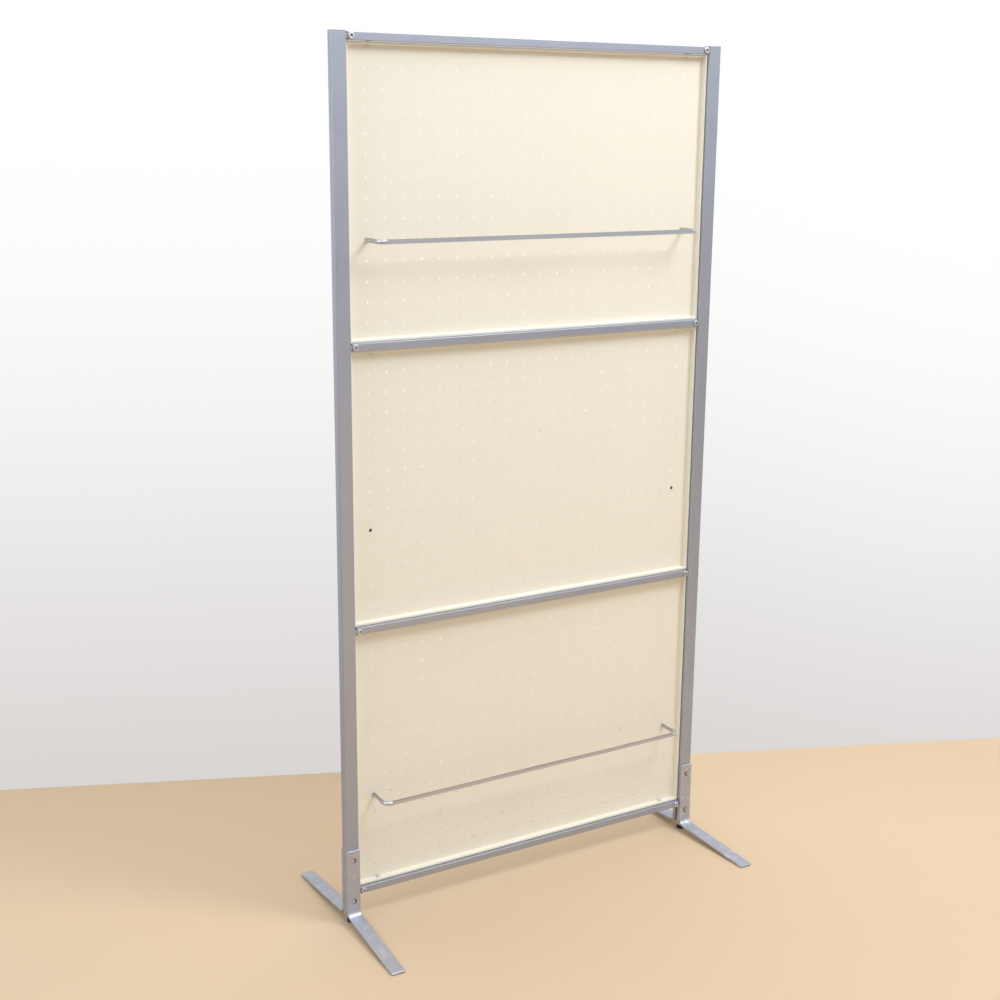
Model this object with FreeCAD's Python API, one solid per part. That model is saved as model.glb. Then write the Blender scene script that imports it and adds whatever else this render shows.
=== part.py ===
import FreeCAD
import Part
import math
import os

# Free-standing pegboard display stand. Two rectangular tube posts are joined by four
# tube rails. Three perforated sheet-metal trays hang between the rails, each with peg
# holes on a square grid. Two bent rod bars stand out in front of the top and bottom
# trays. L-shaped flat feet are bolted to the front and back of each post, and a screwed
# leveller stands under each post.
# Millimetres. X runs across the stand, -Y is its front, Z is up. The origin is on the
# floor, in the middle of the stand, midway between the posts' centre lines.
# Most shapes are drawn for the right side (+X) and mirrored for the left.

V = FreeCAD.Vector
X_AXIS, Y_AXIS, Z_AXIS = V(1, 0, 0), V(0, 1, 0), V(0, 0, 1)
LEFT, RIGHT = -1, 1
FRONT, BACK = -1, 1
SIDES = {"left": LEFT, "right": RIGHT}
WAYS = {"front": FRONT, "back": BACK}

# Posts
post_width = 30.0
post_depth = 20.0
post_wall = 1.5
post_corner = 2.5
post_bottom = 18.0
post_top = 1818.5
post_x = 440.3
post_inner_x = post_x - post_width / 2

# Rails
rail_height = 15.0
rail_depth = post_depth
rail_wall = 1.5
rail_front = -rail_depth / 2
rail_end_x = post_inner_x - 3.0
rail_pitch = 580.0
rail_bottoms = {"bottom_rail": 63.0}
rail_bottoms["lower_middle_rail"] = rail_bottoms["bottom_rail"] + rail_pitch
rail_bottoms["upper_middle_rail"] = rail_bottoms["lower_middle_rail"] + rail_pitch
rail_bottoms["top_rail"] = rail_bottoms["upper_middle_rail"] + rail_pitch

# Trays
sheet = 1.2
tray_gap = 1.2
tray_width = 848.0
tray_height = rail_pitch - rail_height - 2 * tray_gap
lip = 5.3
side_lip = 4.0
fold = lip - sheet
side_fold = side_lip - sheet
tray_back = post_depth / 2
tray_front = tray_back - 13.2
face_front = tray_back - sheet
tray_over_rail = {"bottom_panel": "bottom_rail", "middle_panel": "lower_middle_rail",
                  "top_panel": "upper_middle_rail"}

# Peg holes
peg_pitch = 40.0
peg_radius = 2.5
peg_columns = 20
peg_rows = 13
first_peg_row = 35.8
outer_column_x = peg_pitch * (peg_columns - 1) / 2

# Rod bars
rod_radius = 4.5
bar_standoff = 57.0
bar_bend = 14.0
bar_row = 4
bar_on_tray = {"lower_bar": "bottom_panel", "upper_bar": "top_panel"}
plugged_tray = "middle_panel"

# Connectors between rails and posts
plug_length = 36.0
plug_slack = 0.15
neck_rise = 2.5
neck_height = 8.0
neck_thickness = 4.4
shoulder_height = 9.0
hook_drop = 4.0
hook_length = 6.0
slot_width = 5.0
slot_height = 12.3
base_slot = (22.0, 57.0)
lock_inset = 6.5
lock_head_radius = 6.1
lock_head_proud = 3.0
lock_hole_radius = 6.5
lock_hole_shift = 0.3
lock_shank_radius = 2.95
lock_shank_length = 12.5
lock_key = 5.2
lock_key_depth = 3.5

# Feet
foot_width = 30.0
foot_thickness = 5.0
foot_top = 170.0
foot_reach = 238.0
foot_rise = 14.5
foot_bend = 11.0
foot_corner = 4.0
foot_toe_out = {FRONT: 2.3, BACK: 0.0}
foot_bolt_heights = (52.5, 147.0)
foot_bolt_shift = 2.2
foot_recess_radius = 6.25
foot_recess_floor = 1.2
foot_slot_width = 5.6
foot_slot_length = 10.0

# M5 fasteners
m5_radius = 2.45
m5_tapped = 2.5
m5_clear = 2.65
nut_radius = 3.45
nut_hole_radius = 3.5
nut_bulge_radius = 4.6
nut_bulge_height = 2.5
nut_length = 6.5
cap_head_radius = 3.8
cap_head_height = 4.5
pan_head_radius = 4.6
pan_head_height = 2.8
m5_key = 4.0
m5_key_depth = 1.8
spacer_radius = 5.0
washer_radius = 6.0
washer_thickness = 1.0
tray_screw_length = 12.0
bar_screw_length = 14.0
foot_screw_length = 9.0
flange_screw_x = 375.0
flange_screw_y = 3.0

# Blanking plugs in the holes where a third bar would go
blank_head_radius = 3.5
blank_head_height = 1.6
blank_stem_radius = 2.4
blank_stem_length = 7.0

# Levellers, on M8 threads
pad_radius = 9.5
pad_height = 7.0
pad_lip = 1.0
pad_floor = 2.5
pad_bore = 5.2
pad_mouth = 4.3
stem_disc_radius = 5.1
stem_disc_height = 3.3
stem_radius = 3.95
stem_bore = 4.0
stem_top = 38.0
stem_hex = 13.0
stem_hex_bottom = 8.4
stem_hex_height = 5.0
socket_height = 14.0

# Post caps
cap_thickness = 1.5
cap_plug = 4.0
press_slack = 0.1


def box(x0, x1, y0, y1, z0, z1):
    """A block between two corners."""
    return Part.makeBox(x1 - x0, y1 - y0, z1 - z0, V(x0, y0, z0))


def pin(x, y, z, radius, length, axis):
    """A cylinder that starts at a point and runs along an axis."""
    return Part.makeCylinder(radius, length, V(x, y, z), axis)


def ring(x, y, z, radius, hole, length, axis):
    """A washer or sleeve that starts at a point and runs along an axis."""
    return pin(x, y, z, radius, length, axis).cut(pin(x, y, z, hole, length, axis))


def hexagon(x, y, z, flats, height, axis):
    """A six-sided prism that starts at a point and runs along an axis."""
    corner_radius = flats / math.sqrt(3)
    turns = [math.radians(60 * i) for i in range(7)]
    corners = [V(corner_radius * math.cos(t), corner_radius * math.sin(t), 0) for t in turns]
    prism = Part.Face(Part.makePolygon(corners)).extrude(V(0, 0, height))
    prism.Placement = FreeCAD.Placement(V(x, y, z), FreeCAD.Rotation(Z_AXIS, axis))
    return prism


def joined(*shapes):
    """One solid from overlapping or touching solids."""
    return shapes[0].fuse(list(shapes[1:])).removeSplitter()


def mirrored_x(shape):
    """The same shape on the other side of the stand."""
    return shape.mirror(V(0, 0, 0), X_AXIS)


def placed(shape, side, way=BACK):
    """A shape drawn for the right side and the back, moved to where it is asked for."""
    if side == LEFT:
        shape = mirrored_x(shape)
    if way == FRONT:
        shape = shape.mirror(V(0, 0, 0), Y_AXIS)
    return shape


def rounded_bar(x, bottom, width, depth, height, corner):
    """An upright bar of rounded rectangular section."""
    bar = box(x - width / 2, x + width / 2, -depth / 2, depth / 2, bottom, bottom + height)
    upright = [e for e in bar.Edges if e.BoundBox.ZLength > height / 2]
    return bar.makeFillet(corner, upright)


def screw(x, y, z, axis, length, head_radius, head_height):
    """An M5 screw whose head stands on a point, with its shank running along the axis."""
    back = axis * -head_height
    head = pin(x + back.x, y + back.y, z + back.z, head_radius, head_height, axis)
    over = axis * -(head_height + 1)
    key = hexagon(x + over.x, y + over.y, z + over.z, m5_key, m5_key_depth + 1, axis)
    return joined(head, pin(x, y, z, m5_radius, length, axis)).cut(key)


def rivet_nut(x, y, z, axis, wall):
    """A nut set flush in a tube's wall, with its bulge gripping the wall from inside."""
    bulge = axis * wall
    body = joined(pin(x, y, z, nut_radius, nut_length, axis),
                  pin(x + bulge.x, y + bulge.y, z + bulge.z, nut_bulge_radius,
                      nut_bulge_height, axis))
    return body.cut(pin(x, y, z, m5_tapped, nut_length, axis))


def flange_points(bottom):
    """Where tray screws meet one rail: X, height of the rail's face, way to the tray.

    Each tray hangs by its top flange, and the lowest is screwed to the bottom rail too.
    """
    z, way = (bottom, -1) if bottom > rail_bottoms["bottom_rail"] else (bottom + rail_height, 1)
    return [(side * flange_screw_x, z, way) for side in SIDES.values()]


def all_flange_points():
    """Every place where a tray is screwed to a rail."""
    return [point for bottom in rail_bottoms.values() for point in flange_points(bottom)]


def tray_bottom(tray_name):
    """Height of a tray's lower edge."""
    return rail_bottoms[tray_over_rail[tray_name]] + rail_height + tray_gap


def bar_height(tray_name):
    """Height of the peg row where a bar is, or could be, screwed on."""
    return tray_bottom(tray_name) + first_peg_row + bar_row * peg_pitch


def post(side):
    """A post with its slots for the rail connectors and its holes for the foot nuts."""
    height = post_top - post_bottom
    body = rounded_bar(post_x, post_bottom, post_width, post_depth, height, post_corner)
    bore = rounded_bar(post_x, post_bottom, post_width - 2 * post_wall,
                       post_depth - 2 * post_wall, height, post_corner - post_wall)
    cuts = [bore]
    slots = [(z + neck_rise, z + neck_rise + slot_height) for z in rail_bottoms.values()]
    for low, high in slots + [base_slot]:
        cuts.append(box(post_inner_x - 1, post_inner_x + post_wall + 1,
                        -slot_width / 2, slot_width / 2, low, high))
    for z in foot_bolt_heights:
        cuts.append(pin(post_x + foot_bolt_shift, -post_depth, z, nut_hole_radius,
                        2 * post_depth, Y_AXIS))
    return placed(body.cut(cuts), side)


def post_cap(side):
    """A thin cap on a post, with a plug that is pressed into the tube."""
    plug = rounded_bar(post_x, post_top - cap_plug, post_width - 2 * (post_wall + press_slack),
                       post_depth - 2 * (post_wall + press_slack), cap_plug, 1.0)
    top = rounded_bar(post_x, post_top, post_width, post_depth, cap_thickness, post_corner)
    rim = [e for e in top.Edges if e.BoundBox.ZMin > post_top + cap_thickness / 2]
    return placed(joined(top.makeFillet(0.8, rim), plug), side)


def rail(bottom):
    """A rail, open at its ends, with its holes for the lock screws and the tray screws."""
    middle = bottom + rail_height / 2
    top = bottom + rail_height
    body = box(-rail_end_x, rail_end_x, rail_front, -rail_front, bottom, top)
    bore = box(-rail_end_x, rail_end_x, rail_front + rail_wall, -rail_front - rail_wall,
               bottom + rail_wall, top - rail_wall)
    cuts = [bore]
    for side in SIDES.values():
        hole_x = side * (rail_end_x - lock_inset - lock_hole_shift)
        cuts.append(pin(hole_x, rail_front - 1, middle, lock_hole_radius, rail_wall + 1, Y_AXIS))
    for x, z, way in flange_points(bottom):
        cuts.append(pin(x, flange_screw_y, z + way, m5_tapped, rail_wall + 2, Z_AXIS * -way))
    return body.cut(cuts)


def rail_connector(bottom, side):
    """A plug in a rail's end, with a shoulder that butts on the post and a flat hook that
    drops behind the post's inner wall."""
    middle = bottom + rail_height / 2
    half_height = rail_height / 2 - rail_wall - plug_slack
    plug_front = rail_front + rail_wall
    plug = box(rail_end_x - plug_length, rail_end_x, plug_front, -plug_front - plug_slack,
               middle - half_height, middle + half_height)
    half_neck = neck_thickness / 2
    neck_low = bottom + neck_rise
    neck_high = neck_low + neck_height
    hook_start = post_inner_x + post_wall + press_slack
    hook_end = hook_start + hook_length
    shoulder = box(rail_end_x, post_inner_x, plug_front, -plug_front - plug_slack,
                   middle - shoulder_height / 2, middle + shoulder_height / 2)
    neck = box(rail_end_x, hook_end, -half_neck, half_neck, neck_low, neck_high)
    hook = box(hook_start, hook_end, -half_neck, half_neck, neck_low - hook_drop, neck_high)
    thread = pin(rail_end_x - lock_inset, plug_front, middle, lock_shank_radius + 0.05,
                 lock_shank_length + 1, Y_AXIS)
    return placed(joined(plug, shoulder, neck, hook).cut(thread), side)


def rail_lock_screw(bottom, side):
    """A wide round head with a hexagonal recess, on a shank held in the connector."""
    x = rail_end_x - lock_inset
    z = bottom + rail_height / 2
    front = rail_front - lock_head_proud
    seat = rail_front + rail_wall
    head = pin(x, front, z, lock_head_radius, seat - front, Y_AXIS)
    front_edge = [e for e in head.Edges if e.BoundBox.YMax < front + 0.01]
    shank = pin(x, seat, z, lock_shank_radius, lock_shank_length, Y_AXIS)
    key = hexagon(x, front - 1, z, lock_key, lock_key_depth + 1, Y_AXIS)
    return placed(joined(head.makeFillet(0.9, front_edge), shank).cut(key), side)


def tray(bottom):
    """A perforated sheet with four flanges folded forward, each with an outward lip."""
    half = tray_width / 2
    top = bottom + tray_height
    outer = box(-half + side_fold, half - side_fold, tray_front, tray_back,
                bottom + fold, top - fold)
    rim = box(-half, half, tray_front, tray_front + sheet, bottom, top)
    pocket = box(-half + side_lip, half - side_lip, tray_front - 1, face_front,
                 bottom + lip, top - lip)
    holes = []
    for column in range(peg_columns):
        for row in range(peg_rows):
            x = column * peg_pitch - outer_column_x
            z = bottom + first_peg_row + row * peg_pitch
            holes.append(pin(x, face_front - 1, z, peg_radius, sheet + 2, Y_AXIS))
    drilled = [top - lip - 1]
    if bottom < rail_bottoms["lower_middle_rail"]:
        drilled.append(bottom + fold - 1)
    for x in (-flange_screw_x, flange_screw_x):
        for z in drilled:
            holes.append(pin(x, flange_screw_y, z, m5_clear, sheet + 2, Z_AXIS))
    return joined(outer, rim).cut(pocket).cut(holes)


def tray_screw(x, z, way):
    """A screw through a tray's flange and its spacer, threaded into a rail's wall."""
    head_z = z + way * (tray_gap + lip)
    return screw(x, flange_screw_y, head_z, Z_AXIS * -way, tray_screw_length,
                 pan_head_radius, pan_head_height)


def tray_spacer(x, z, way):
    """A sleeve that fills the gap between a rail and a tray's flange."""
    return ring(x, flange_screw_y, z, spacer_radius, m5_clear, tray_gap + fold, Z_AXIS * way)


def rod_bar(tray_name):
    """A round rod bent to a U: two legs that butt on the tray and a long span."""
    z = bar_height(tray_name)
    span_y = face_front - bar_standoff
    x = outer_column_x
    inset = bar_bend * (1 - math.cos(math.radians(45)))
    left = [V(-x, face_front, z), V(-x, span_y + bar_bend, z),
            V(-x + inset, span_y + inset, z), V(-x + bar_bend, span_y, z)]
    right = [V(-p.x, p.y, p.z) for p in left]
    path = Part.Wire([Part.LineSegment(left[0], left[1]).toShape(),
                      Part.Arc(left[1], left[2], left[3]).toShape(),
                      Part.LineSegment(left[3], right[3]).toShape(),
                      Part.Arc(right[3], right[2], right[1]).toShape(),
                      Part.LineSegment(right[1], right[0]).toShape()])
    section = Part.Wire(Part.makeCircle(rod_radius, left[0], Y_AXIS))
    body = path.makePipeShell([section], True, False)
    depth = bar_screw_length
    holes = [pin(side * x, face_front - depth, z, m5_tapped, depth, Y_AXIS)
             for side in SIDES.values()]
    return body.cut(holes)


def bar_washer(x, z):
    """A washer behind a tray, under a bar screw's head."""
    return ring(x, tray_back, z, washer_radius, m5_clear, washer_thickness, Y_AXIS)


def bar_screw(x, z):
    """A screw from behind, through a washer and a peg hole into a bar's leg."""
    return screw(x, tray_back + washer_thickness, z, -Y_AXIS, bar_screw_length,
                 pan_head_radius, pan_head_height)


def blanking_plug(x, z):
    """A low domed plug pushed into a peg hole from the front."""
    head = pin(x, face_front - blank_head_height, z, blank_head_radius, blank_head_height, Y_AXIS)
    front_edge = [e for e in head.Edges if e.BoundBox.YMax < face_front - blank_head_height + 0.01]
    stem = pin(x, face_front, z, blank_stem_radius, blank_stem_length, Y_AXIS)
    return joined(head.makeFillet(1.2, front_edge), stem)


def foot(side, way):
    """A flat bar bent to an L: a plate bolted to the post and a bar down to the floor."""
    plate_face = post_depth / 2 + foot_thickness
    bend_y = plate_face + foot_bend
    slope = math.atan2(foot_rise, foot_reach - bend_y)
    outer_bend = foot_bend + foot_thickness
    bend_z = foot_rise + outer_bend * math.cos(slope)
    half_turn = (math.radians(90) - slope) / 2

    def around(radius, turn):
        """A point on the bend, turned from the plate towards the bar."""
        return V(post_x - foot_width / 2, bend_y - radius * math.cos(turn),
                 bend_z - radius * math.sin(turn))

    inner = [around(foot_bend, t) for t in (0, half_turn, 2 * half_turn)]
    outer = [around(outer_bend, t) for t in (0, half_turn, 2 * half_turn)]
    plate_top = [V(p.x, p.y, foot_top) for p in (inner[0], outer[0])]
    outline = Part.Wire([Part.LineSegment(plate_top[0], inner[0]).toShape(),
                         Part.Arc(*inner).toShape(),
                         Part.LineSegment(inner[2], outer[2]).toShape(),
                         Part.Arc(*reversed(outer)).toShape(),
                         Part.LineSegment(outer[0], plate_top[1]).toShape(),
                         Part.LineSegment(plate_top[1], plate_top[0]).toShape()])
    across = V(foot_width, 0, 0)
    plate = Part.Face(outline).extrude(across)
    run = outer[2].z / math.tan(slope)
    to_tip = V(run * math.tan(math.radians(foot_toe_out[way])), run, -outer[2].z)
    root = Part.makePolygon([inner[2], outer[2], outer[2] + across, inner[2] + across, inner[2]])
    bar = Part.Face(root).extrude(to_tip)
    tip_y = outer[2].y + run
    tip_corners = [e for e in bar.Edges if e.BoundBox.YMin > tip_y - 1 and e.BoundBox.XLength < 1]
    body = joined(plate, bar.makeFillet(foot_corner, tip_corners))
    cuts = []
    for z in foot_bolt_heights:
        cuts.append(pin(post_x, post_depth / 2 + foot_recess_floor, z, foot_recess_radius,
                        foot_thickness, Y_AXIS))
        half_slot = (foot_slot_length - foot_slot_width) / 2
        cuts.append(box(post_x - half_slot, post_x + half_slot, 0, plate_face,
                        z - foot_slot_width / 2, z + foot_slot_width / 2))
        for end in (-half_slot, half_slot):
            cuts.append(pin(post_x + end, 0, z, foot_slot_width / 2, plate_face, Y_AXIS))
    return placed(body.cut(cuts), side, way)


def foot_bolt(side, way, z):
    """A socket-head bolt in a foot plate's recess, at the outer end of its slot."""
    seat_y = post_depth / 2 + foot_recess_floor
    bolt = screw(post_x + foot_bolt_shift, seat_y, z, -Y_AXIS, foot_screw_length,
                 cap_head_radius, cap_head_height)
    return placed(bolt, side, way)


def foot_nut(side, way, z):
    """A rivet nut in a post's front or back wall."""
    nut = rivet_nut(post_x + foot_bolt_shift, post_depth / 2, z, -Y_AXIS, post_wall)
    return placed(nut, side, way)


def leveller_socket(side):
    """A threaded block pressed into a post's lower end."""
    block = rounded_bar(post_x, post_bottom, post_width - 2 * (post_wall + press_slack),
                        post_depth - 2 * (post_wall + press_slack), socket_height, 1.0)
    return placed(block.cut(pin(post_x, 0, post_bottom, stem_bore, socket_height, Z_AXIS)), side)


def leveller_stem(side):
    """A threaded stem with a hexagonal collar and a foot disc held in the pad."""
    disc = pin(post_x, 0, pad_floor + 0.1, stem_disc_radius, stem_disc_height, Z_AXIS)
    thread = pin(post_x, 0, pad_floor + 0.1, stem_radius, stem_top - pad_floor - 0.1, Z_AXIS)
    collar = hexagon(post_x, 0, stem_hex_bottom, stem_hex, stem_hex_height, Z_AXIS)
    return placed(joined(disc, thread, collar), side)


def leveller_pad(side):
    """A round pad that snaps over the stem's foot disc and stays still as it turns."""
    pad = pin(post_x, 0, 0, pad_radius, pad_height, Z_AXIS)
    top_edge = [e for e in pad.Edges if e.BoundBox.ZMin > pad_height - 0.01]
    pad = pad.makeFillet(2.5, top_edge)
    bore = pin(post_x, 0, pad_floor, pad_bore, pad_height - pad_lip - pad_floor, Z_AXIS)
    mouth = pin(post_x, 0, pad_floor, pad_mouth, pad_height, Z_AXIS)
    return placed(pad.cut([bore, mouth]), side)


def build_nodes():
    """Every node of the stand: its name and its solids."""
    nodes = {}
    for side_name, side in SIDES.items():
        nodes[side_name + "_post"] = [post(side)]
        nodes[side_name + "_post_cap"] = [post_cap(side)]
        nodes[side_name + "_leveller_socket"] = [leveller_socket(side)]
        nodes[side_name + "_leveller_stem"] = [leveller_stem(side)]
        nodes[side_name + "_leveller_pad"] = [leveller_pad(side)]
        for way_name, way in WAYS.items():
            nodes[side_name + "_" + way_name + "_foot"] = [foot(side, way)]
    for name, bottom in rail_bottoms.items():
        nodes[name] = [rail(bottom)]
    for name in tray_over_rail:
        nodes[name] = [tray(tray_bottom(name))]
    for name, tray_name in bar_on_tray.items():
        nodes[name] = [rod_bar(tray_name)]

    rail_ends = [(z, side) for z in rail_bottoms.values() for side in SIDES.values()]
    nodes["rail_connectors"] = [rail_connector(z, side) for z, side in rail_ends]
    nodes["rail_lock_screws"] = [rail_lock_screw(z, side) for z, side in rail_ends]

    points = all_flange_points()
    nodes["tray_screws"] = [tray_screw(x, z, way) for x, z, way in points]
    nodes["tray_spacers"] = [tray_spacer(x, z, way) for x, z, way in points]

    legs = [(side * outer_column_x, bar_height(tray_name))
            for tray_name in bar_on_tray.values() for side in SIDES.values()]
    nodes["bar_screws"] = [bar_screw(x, z) for x, z in legs]
    nodes["bar_washers"] = [bar_washer(x, z) for x, z in legs]
    plug_z = bar_height(plugged_tray)
    nodes["blanking_plugs"] = [blanking_plug(side * outer_column_x, plug_z)
                               for side in SIDES.values()]

    bolts = [(side, way, z) for side in SIDES.values() for way in WAYS.values()
             for z in foot_bolt_heights]
    nodes["foot_bolts"] = [foot_bolt(*place) for place in bolts]
    nodes["foot_rivet_nuts"] = [foot_nut(*place) for place in bolts]
    return nodes


os.makedirs("parts", exist_ok=True)
for node_name, solids in build_nodes().items():
    shape = solids[0] if len(solids) == 1 else Part.makeCompound(solids)
    bounds = shape.BoundBox
    print("%-24s solids %2d  volume %10.1f  x %.1f..%.1f  y %.1f..%.1f  z %.1f..%.1f  valid %s" % (
        node_name, len(shape.Solids), shape.Volume, bounds.XMin, bounds.XMax,
        bounds.YMin, bounds.YMax, bounds.ZMin, bounds.ZMax, shape.isValid()))
    shape.exportStep("parts/" + node_name + ".step")
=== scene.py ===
"""Looks of a free-standing pegboard display stand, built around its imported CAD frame.

Two tube posts, four tube rails, three perforated sheet trays, two bent rod bars, four
L-shaped feet, two levellers and the screws that hold them. Metres; X runs across the
stand, -Y is its front and Z is up. Each new piece is one or more closed surfaces worked
out on grids of points, placed by the boxes of the CAD nodes that it stands for.
"""
import math

import bmesh
import bpy
import numpy as np
from mathutils import Matrix, Vector


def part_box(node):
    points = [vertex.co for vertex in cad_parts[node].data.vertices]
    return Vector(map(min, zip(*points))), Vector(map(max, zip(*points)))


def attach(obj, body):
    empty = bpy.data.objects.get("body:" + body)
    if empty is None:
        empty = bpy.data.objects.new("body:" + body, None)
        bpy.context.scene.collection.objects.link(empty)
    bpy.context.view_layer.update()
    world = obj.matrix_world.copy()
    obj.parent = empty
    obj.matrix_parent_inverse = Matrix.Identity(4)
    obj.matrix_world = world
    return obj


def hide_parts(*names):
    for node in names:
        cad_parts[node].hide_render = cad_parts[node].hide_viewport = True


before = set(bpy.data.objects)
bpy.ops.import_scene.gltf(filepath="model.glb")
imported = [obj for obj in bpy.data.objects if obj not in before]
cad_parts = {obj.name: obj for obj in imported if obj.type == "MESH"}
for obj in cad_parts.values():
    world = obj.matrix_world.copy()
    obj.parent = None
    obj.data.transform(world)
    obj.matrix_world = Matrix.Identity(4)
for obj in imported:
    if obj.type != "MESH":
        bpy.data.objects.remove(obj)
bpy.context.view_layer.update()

MM = 0.001
X, Y, Z = np.eye(3)
SIDES = {"left": -1, "right": 1}
WAYS = {"front": -1, "back": 1}
BODY = "frame"
WELD = 0.000002
SHARP = math.radians(32)

# The nodes' boxes give where each part is and how large; these are the sizes within it.

# Posts: walls, slots for the rails' hooks, holes for the foot bolts' nuts, lids. HOLE_CELL
# is half the width of the patch of surface that a small hole is drilled in.
POST_WALL, POST_CORNER = 1.5 * MM, 2.5 * MM
SLOT_WIDTH, SLOT_HEIGHT, SLOT_RISE = 5 * MM, 12.3 * MM, 2.5 * MM
BASE_SLOT = (22 * MM, 57 * MM)
NUT_HOLE, HOLE_CELL = 3.5 * MM, 4.2 * MM
LID_PLUG_INSET, LID_RIM = 1.6 * MM, 0.8 * MM

# Rails: walls, and the lock screws' seats near their ends, each in a patch of LOCK_CELL
RAIL_WALL, RAIL_CORNER = 1.5 * MM, 0.9 * MM
LOCK_INSET, LOCK_HOLE, LOCK_SINK, LOCK_CELL = 6.5 * MM, 6.5 * MM, 1.4 * MM, 13.6 * MM

# Trays: sheet, folded flanges with their lips, peg holes, screws through the flanges
SHEET = 1.2 * MM
END_LIP, SIDE_LIP = 5.3 * MM, 4.0 * MM
FOLD_RADIUS, LIP_RADIUS = 1.0 * MM, 0.6 * MM
PEG_PITCH, PEG_RADIUS, FIRST_PEG_ROW = 40 * MM, 2.5 * MM, 35.8 * MM
PEG_COLUMNS, PEG_ROWS = 20, 13
FLANGE_SCREW_X, FLANGE_SCREW_Y = 375 * MM, 3 * MM

# Bars
ROD_RADIUS, ROD_BEND = 4.5 * MM, 14 * MM

# Feet: flat bar, its bend and slope, and the bolts' recesses and slots, each in a patch
# whose half width is FOOT_CELL. END_STEPS are distances from an end at which it is rounded.
FOOT_WIDTH, FOOT_THICKNESS = 30 * MM, 5 * MM
FOOT_EDGE, FOOT_CORNER = 1.4 * MM, 4 * MM
FOOT_BEND, FOOT_RISE = 11 * MM, 14.5 * MM
FOOT_TOE_OUT = {"front": math.radians(2.3), "back": 0.0}
FOOT_BOLT_HEIGHTS, FOOT_BOLT_SHIFT = (52.5 * MM, 147 * MM), 2.2 * MM
FOOT_RECESS, FOOT_SINK, FOOT_CELL = 6.25 * MM, 3.8 * MM, 7.2 * MM
FOOT_SLOT_LENGTH, FOOT_SLOT_WIDTH = 10 * MM, 5.6 * MM
END_STEPS = (0, 0.1 * MM, 0.3 * MM, 0.7 * MM, 1.4 * MM, 2 * MM, 3 * MM, 4 * MM)

# Screws: radii of heads and shanks, and hexagonal keys across their flats. A shank narrows
# at its end to POINT_SHARE of its radius. EDGE is the chamfer of small edges.
EDGE = 0.2 * MM
SCREW_HOLE, TAPPED_HOLE, WASHER = 2.65 * MM, 2.5 * MM, 6 * MM
M5 = {"key": 4 * MM, "key_depth": 1.8 * MM, "shank": 2.45 * MM}
PAN_SCREW = {"head": 4.6 * MM, "height": 2.8 * MM, "crown": 1.6 * MM, **M5}
CAP_SCREW = {"head": 3.8 * MM, "height": 4.5 * MM, "crown": 0.6 * MM, **M5}
LOCK_SCREW = {"head": 6.1 * MM, "crown": 0.9 * MM, "key": 5.2 * MM, "key_depth": 5.5 * MM,
              "shank": 2.95 * MM}
TRAY_SCREW_LENGTH, BAR_SCREW_LENGTH, FOOT_BOLT_LENGTH = 12 * MM, 14 * MM, 9 * MM
POINT_SHARE, POINT_DEPTH_SHARE = 0.8, 0.2
PLUG_PLAY = 0.1 * MM

# Levellers: pad, then stem from the disc inside the pad up to the thread
PAD_ROUND, PAD_FOOT, PAD_MOUTH, PAD_BORE = 2.5 * MM, 0.5 * MM, 4.3 * MM, 5.2 * MM
PAD_LIP, PAD_FLOOR = 1 * MM, 2.5 * MM
DISC_RADIUS, DISC_TOP = 5.1 * MM, 5.9 * MM
HEX_FLATS, HEX_BOTTOM, HEX_TOP, HEX_BEVEL = 13 * MM, 8.4 * MM, 13.4 * MM, 0.5 * MM
BEVEL_SHARE = 1.06
THREAD_RADIUS, THREAD_DEPTH, THREAD_PITCH = 3.95 * MM, 0.65 * MM, 1.25 * MM

# Studio: a wall behind the stand that glows and carries painted light and shade, the camera, and
# a dome of even light
WALL_LINE = ((-0.937, 1.03, 0), (1.556, -0.008, 0))
WALL_REACH, WALL_HEIGHT, FLOOR_REACH = 2.5, 4, 8
# The wall's low and high tones are painted shade and painted light: its tone runs between them
# by height and towards the right, a stand-in for how light falls on it.
WALL_PAINTED_SHADE, WALL_PAINTED_LIGHT = (0.66, 0.63, 0.62, 1.0), (1.0, 1.0, 1.0, 1.0)
WALL_RISE, WALL_LIFT, WALL_LIFT_SPAN = (-0.4, 1.7), 0.25, (0.3, 1.6)
CAMERA_PLACE = Vector((-1.6542, -2.6202, 1.6498))
CAMERA_TURN = (-30.996, 14.07, 0.517)
CAMERA_LENS, CAMERA_SENSOR = 53.64, 36
DOME_RISE, DOME_LEVELS, DOME_LIGHT = (-0.05, 0.6), (0.70, 1.15), 0.53


# ---------------------------------------------------------------- surfaces

def unit(vectors):
    """Vectors scaled to length 1."""
    return vectors / np.linalg.norm(vectors, axis=-1, keepdims=True)


def grid_faces(rows, columns, wrap_columns=False):
    """Quads between neighbours of a rows by columns grid of points, as an (r, c, 4) array."""
    r = columns * np.arange(rows - 1)[:, None]
    c = np.arange(columns if wrap_columns else columns - 1)[None, :]
    c2 = (c + 1) % columns
    return np.stack([r + c, r + columns + c, r + columns + c2, r + c2], -1)


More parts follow.
